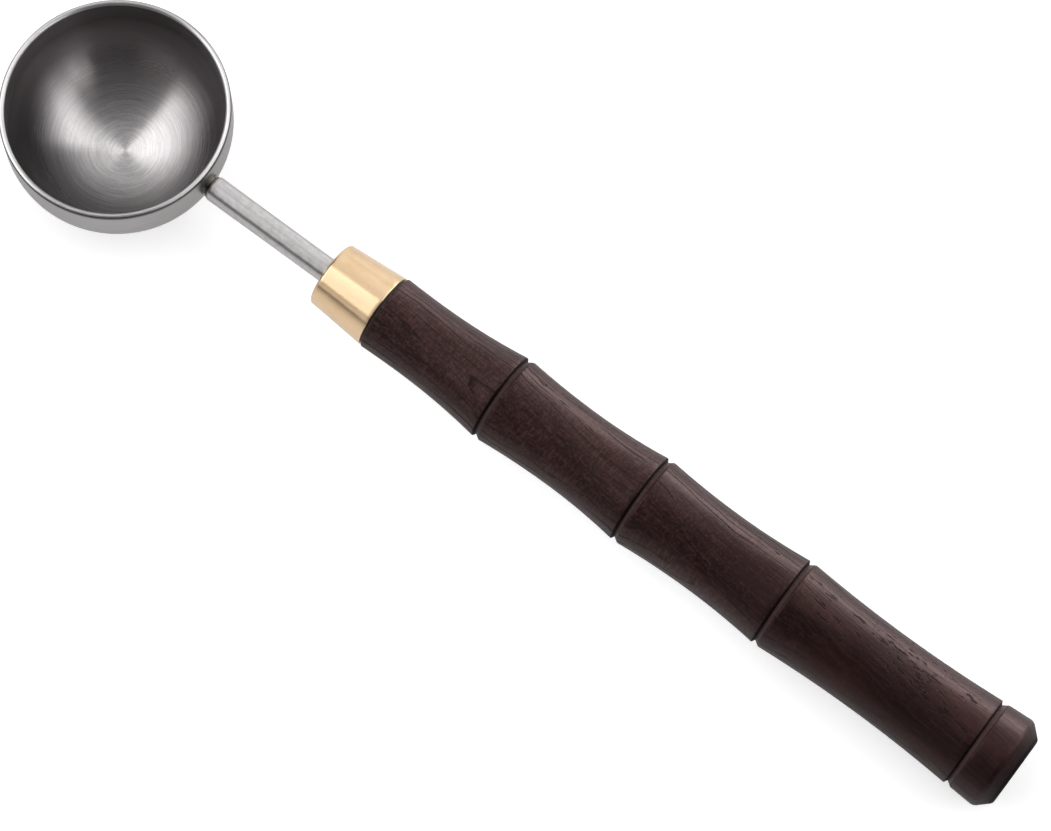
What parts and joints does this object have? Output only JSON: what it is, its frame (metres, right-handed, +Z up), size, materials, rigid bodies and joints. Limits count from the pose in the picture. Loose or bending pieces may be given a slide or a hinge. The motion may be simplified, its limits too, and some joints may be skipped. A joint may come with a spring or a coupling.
{
  "type": "coffee measuring spoon",
  "caption": "Coffee measuring spoon with a deep round steel bowl, a round rod stem, a tapered brass ferrule and a ringed, turned dark wood handle.",
  "frame": {"origin": "on the table under the middle of the spoon's length, with the spoon lying at rest on the bowl's floor and the butt's edge", "axes": "+X from the bowl to the butt, +Z up out of the bowl, square to the lip"},
  "size_m": [0.2126, 0.0406, 0.0225],
  "materials": {
    "bowl_steel": "satin outside, circular brush marks inside, polished lip",
    "weld_metal": "as welded, cleaned",
    "stem_steel": "satin",
    "brass": "satin polished",
    "dark_wood": "turned, oiled, satin",
    "adhesive": "hardened two-part adhesive"
  },
  "bodies": {
    "root": {"bowl": "bowl_steel", "weld_nugget": "weld_metal", "stem": "stem_steel", "ferrule": "brass", "ferrule_adhesive": "adhesive", "tang_adhesive": "adhesive", "handle": "dark_wood"}
  },
  "joints": []
}
